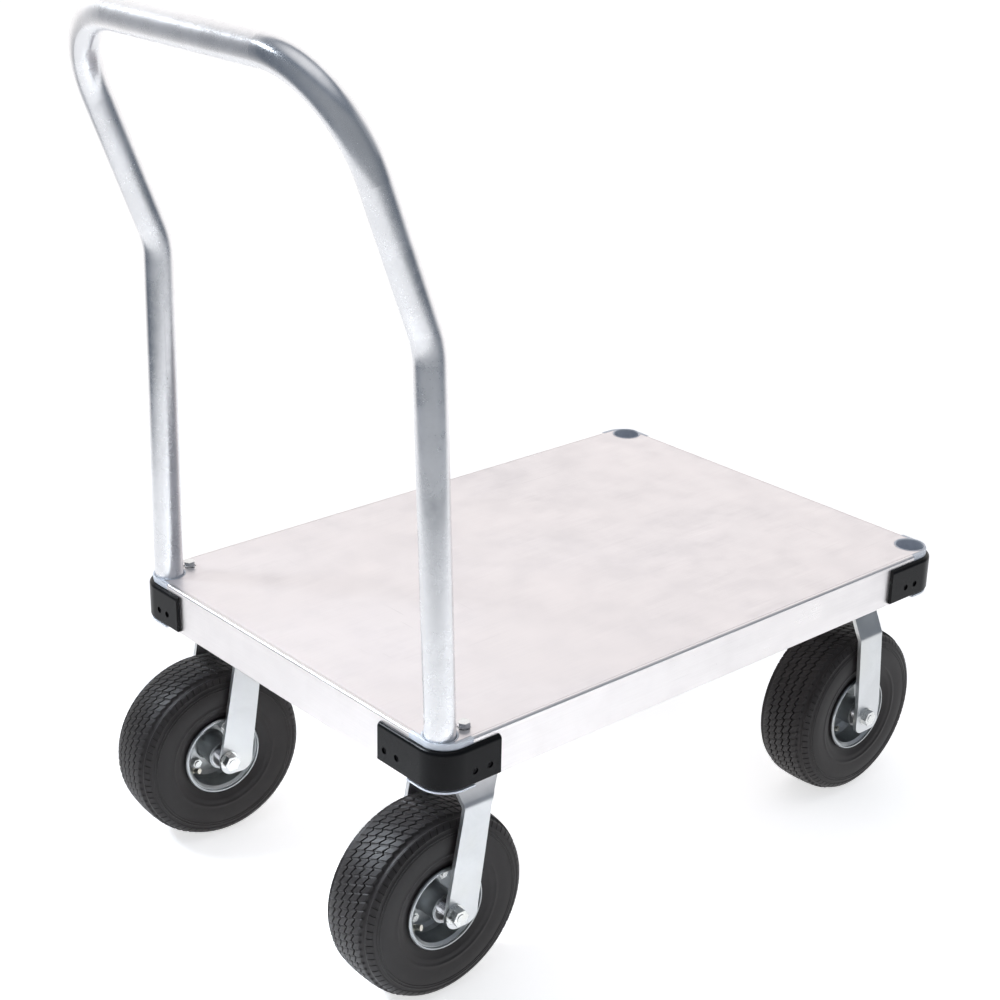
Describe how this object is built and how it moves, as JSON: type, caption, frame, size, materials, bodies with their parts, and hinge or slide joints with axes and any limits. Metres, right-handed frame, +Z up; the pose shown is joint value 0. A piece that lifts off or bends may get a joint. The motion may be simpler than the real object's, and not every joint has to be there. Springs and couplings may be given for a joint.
{
  "type": "platform cart",
  "caption": "Aluminium platform cart with a lift-out bow handle, rubber corner guards, swivel and fixed casters, and pneumatic wheels.",
  "frame": {"origin": "centre of the whole cart's bounding box in plan, on the floor", "axes": "+X towards the front, away from the handle; +Y to the left of travel; +Z up"},
  "size_m": [1.0643, 0.643, 1.1649],
  "materials": {
    "deck_aluminium": "satin brushed sheet",
    "rail_aluminium": "satin extruded",
    "cast_aluminium": "fine sand cast, fettled",
    "handle_aluminium": "satin drawn tube",
    "guard_rubber": "moulded, soft sheen",
    "tyre": "matt rubber with sawtooth ribs",
    "rim_zinc": "pressed steel, grey zinc",
    "fork_zinc": "bright zinc plated",
    "fastener_zinc": "zinc plated",
    "black_fastener": "black oxide",
    "bearing_steel": "ground steel",
    "valve": "nickelled brass"
  },
  "bodies": {
    "chassis": {"axle_bolt_front_left": "fastener_zinc", "axle_bolt_front_right": "fastener_zinc", "axle_nuts_front": "fastener_zinc", "caster_plate_bolts": "fastener_zinc", "corner_casting_front_left": "cast_aluminium", "corner_casting_front_right": "cast_aluminium", "corner_casting_rear_left": "cast_aluminium", "corner_casting_rear_right": "cast_aluminium", "corner_guard_front_left": "guard_rubber", "corner_guard_front_right": "guard_rubber", "corner_guard_rear_left": "guard_rubber", "corner_guard_rear_right": "guard_rubber", "corner_guard_screws": "black_fastener", "deck_corner_bolts": "fastener_zinc", "deck_plate": "deck_aluminium", "deck_stiffeners": "rail_aluminium", "end_rail_front": "rail_aluminium", "end_rail_rear": "rail_aluminium", "kingpin_rear_left": "fastener_zinc", "kingpin_rear_right": "fastener_zinc", "rigid_fork_front_left": "fork_zinc", "rigid_fork_front_right": "fork_zinc", "side_rail_left": "rail_aluminium", "side_rail_right": "rail_aluminium", "swivel_top_plate_rear_left": "fork_zinc", "swivel_top_plate_rear_right": "fork_zinc"},
    "handle": {"handle_tube": "handle_aluminium"},
    "swivel_rear_right": {"swivel_fork_rear_right": "fork_zinc", "swivel_balls_rear_right": "bearing_steel", "axle_bolt_rear_right": "fastener_zinc", "axle_nut_rear_right": "fastener_zinc"},
    "swivel_rear_left": {"swivel_fork_rear_left": "fork_zinc", "swivel_balls_rear_left": "bearing_steel", "axle_bolt_rear_left": "fastener_zinc", "axle_nut_rear_left": "fastener_zinc"},
    "wheel_rear_right": {"tyre_rear_right": "tyre", "rim_outer_half_rear_right": "rim_zinc", "rim_inner_half_rear_right": "rim_zinc", "hub_bearings_rear_right": "bearing_steel", "rim_bolts_rear_right": "fastener_zinc", "tyre_valve_rear_right": "valve"},
    "wheel_rear_left": {"tyre_rear_left": "tyre", "rim_outer_half_rear_left": "rim_zinc", "rim_inner_half_rear_left": "rim_zinc", "hub_bearings_rear_left": "bearing_steel", "rim_bolts_rear_left": "fastener_zinc", "tyre_valve_rear_left": "valve"},
    "wheel_front_right": {"tyre_front_right": "tyre", "rim_outer_half_front_right": "rim_zinc", "rim_inner_half_front_right": "rim_zinc", "hub_bearings_front_right": "bearing_steel", "rim_bolts_front_right": "fastener_zinc", "tyre_valve_front_right": "valve"},
    "wheel_front_left": {"tyre_front_left": "tyre", "rim_outer_half_front_left": "rim_zinc", "rim_inner_half_front_left": "rim_zinc", "hub_bearings_front_left": "bearing_steel", "rim_bolts_front_left": "fastener_zinc", "tyre_valve_front_left": "valve"}
  },
  "joints": [
    {"name": "handle_lift_out", "type": "slide", "parent": "chassis", "child": "handle", "axis": [0, 0, 1], "range_m": [0, 0.075]},
    {"name": "swivel_rear_right", "type": "hinge", "parent": "chassis", "child": "swivel_rear_right", "pos_m": [-0.31884, -0.237, 0.297], "axis": [0, 0, 1], "continuous": true},
    {"name": "wheel_spin_rear_right", "type": "hinge", "parent": "swivel_rear_right", "child": "wheel_rear_right", "pos_m": [-0.36883, -0.23569, 0.125], "axis": [0.0262, 0.9997, 0], "continuous": true},
    {"name": "swivel_rear_left", "type": "hinge", "parent": "chassis", "child": "swivel_rear_left", "pos_m": [-0.31884, 0.237, 0.297], "axis": [0, 0, 1], "continuous": true},
    {"name": "wheel_spin_rear_left", "type": "hinge", "parent": "swivel_rear_left", "child": "wheel_rear_left", "pos_m": [-0.36863, 0.24162, 0.125], "axis": [0.0924, 0.9957, 0], "continuous": true},
    {"name": "wheel_spin_front_right", "type": "hinge", "parent": "chassis", "child": "wheel_front_right", "pos_m": [0.40716, -0.237, 0.125], "axis": [0, 1, 0], "continuous": true},
    {"name": "wheel_spin_front_left", "type": "hinge", "parent": "chassis", "child": "wheel_front_left", "pos_m": [0.40716, 0.237, 0.125], "axis": [0, 1, 0], "continuous": true}
  ]
}
